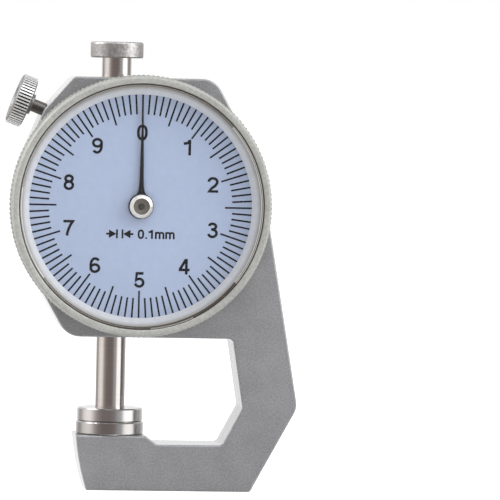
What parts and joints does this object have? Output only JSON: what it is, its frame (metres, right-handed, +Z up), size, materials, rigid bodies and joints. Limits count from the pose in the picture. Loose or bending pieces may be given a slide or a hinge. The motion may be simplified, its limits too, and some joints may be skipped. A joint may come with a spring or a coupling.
{
  "type": "dial thickness gauge",
  "caption": "Hand-held dial thickness gauge: C-shaped frame, flat disc contacts, spindle driving a pointer by rack and pinion, turning bezel and a thumb screw that locks the spindle.",
  "frame": {"origin": "where the spindle's axis meets the flat base, in the frame's mid-plane", "axes": "+Z up along the spindle; the dial faces -Y; +X towards the frame's arm"},
  "size_m": [0.0458, 0.0151, 0.0693],
  "materials": {
    "frame_finish": "satin grey coat with a fine mottle",
    "cover_plate": "satin grey coat",
    "small_screws": "bright steel",
    "movement_brass": "turned brass",
    "polished_steel": "ground and polished steel",
    "spring_steel": "drawn spring wire",
    "bezel_metal": "satin, warm grey",
    "dial_face": "pale blue lacquer with black graduations",
    "retainer_white": "pale lilac white",
    "gasket": "dark brown",
    "crystal": "clear acrylic",
    "pointer_black": "black lacquer",
    "nickel_plate": "bright nickel plate"
  },
  "bodies": {
    "root": {"frame_casting": "frame_finish", "back_cover": "cover_plate", "back_cover_screws": "small_screws", "lower_bush": "movement_brass", "upper_bush": "movement_brass", "anvil_disc": "polished_steel", "movement_plate": "movement_brass", "plate_screws": "small_screws", "bridge_pillars": "movement_brass", "movement_bridge": "movement_brass", "bridge_screws": "small_screws", "spring_post": "movement_brass", "hairspring_stud": "movement_brass", "bezel_snap_ring": "spring_steel", "hairspring": "spring_steel", "return_spring": "spring_steel"},
    "bezel": {"bezel_ring": "bezel_metal", "dial_plate": "dial_face", "dial_retainer_ring": "retainer_white", "crystal_gasket": "gasket", "crystal": "crystal"},
    "spindle": {"spindle_rack": "polished_steel", "contact_disc": "polished_steel", "lifting_button": "polished_steel", "guide_pin": "polished_steel", "spring_hook_pin": "polished_steel"},
    "pointer": {"pinion_arbor": "polished_steel", "hairspring_collet": "movement_brass", "pointer_hand": "pointer_black", "pointer_boss": "polished_steel"},
    "clamp_pad": {"clamp_pad": "movement_brass"},
    "thumb_screw": {"thumb_screw": "nickel_plate"}
  },
  "joints": [
    {"name": "spindle_slide", "type": "slide", "parent": "root", "child": "spindle", "axis": [0, 0, 1], "range_m": [0, 0.01], "stiffness_N_per_m": 60, "springref_m": -0.02, "deforming": ["return_spring"]},
    {"name": "pointer_turn", "type": "hinge", "parent": "root", "child": "pointer", "pos_m": [0.00359, 0, 0.0441], "axis": [0, 1, 0], "range_deg": [0, 360], "deforming": ["hairspring"]},
    {"name": "bezel_turn", "type": "hinge", "parent": "root", "child": "bezel", "pos_m": [0.00359, 0, 0.0441], "axis": [0, 1, 0], "continuous": true},
    {"name": "clamp_slide", "type": "slide", "parent": "root", "child": "clamp_pad", "axis": [-0.9336, 0, 0.3584], "range_m": [-0.0001, 0.0008]},
    {"name": "thumb_screw_turn", "type": "hinge", "parent": "clamp_pad", "child": "thumb_screw", "pos_m": [-0.01463, 0, 0.05992], "axis": [-0.9336, 0, 0.3584], "range_deg": [-90, 720]}
  ],
  "couplings": [
    {"joint": "pointer_turn", "follows": "spindle_slide", "rad_per_m": 628.32},
    {"joint": "thumb_screw_turn", "follows": "clamp_slide", "rad_per_m": 15708}
  ]
}
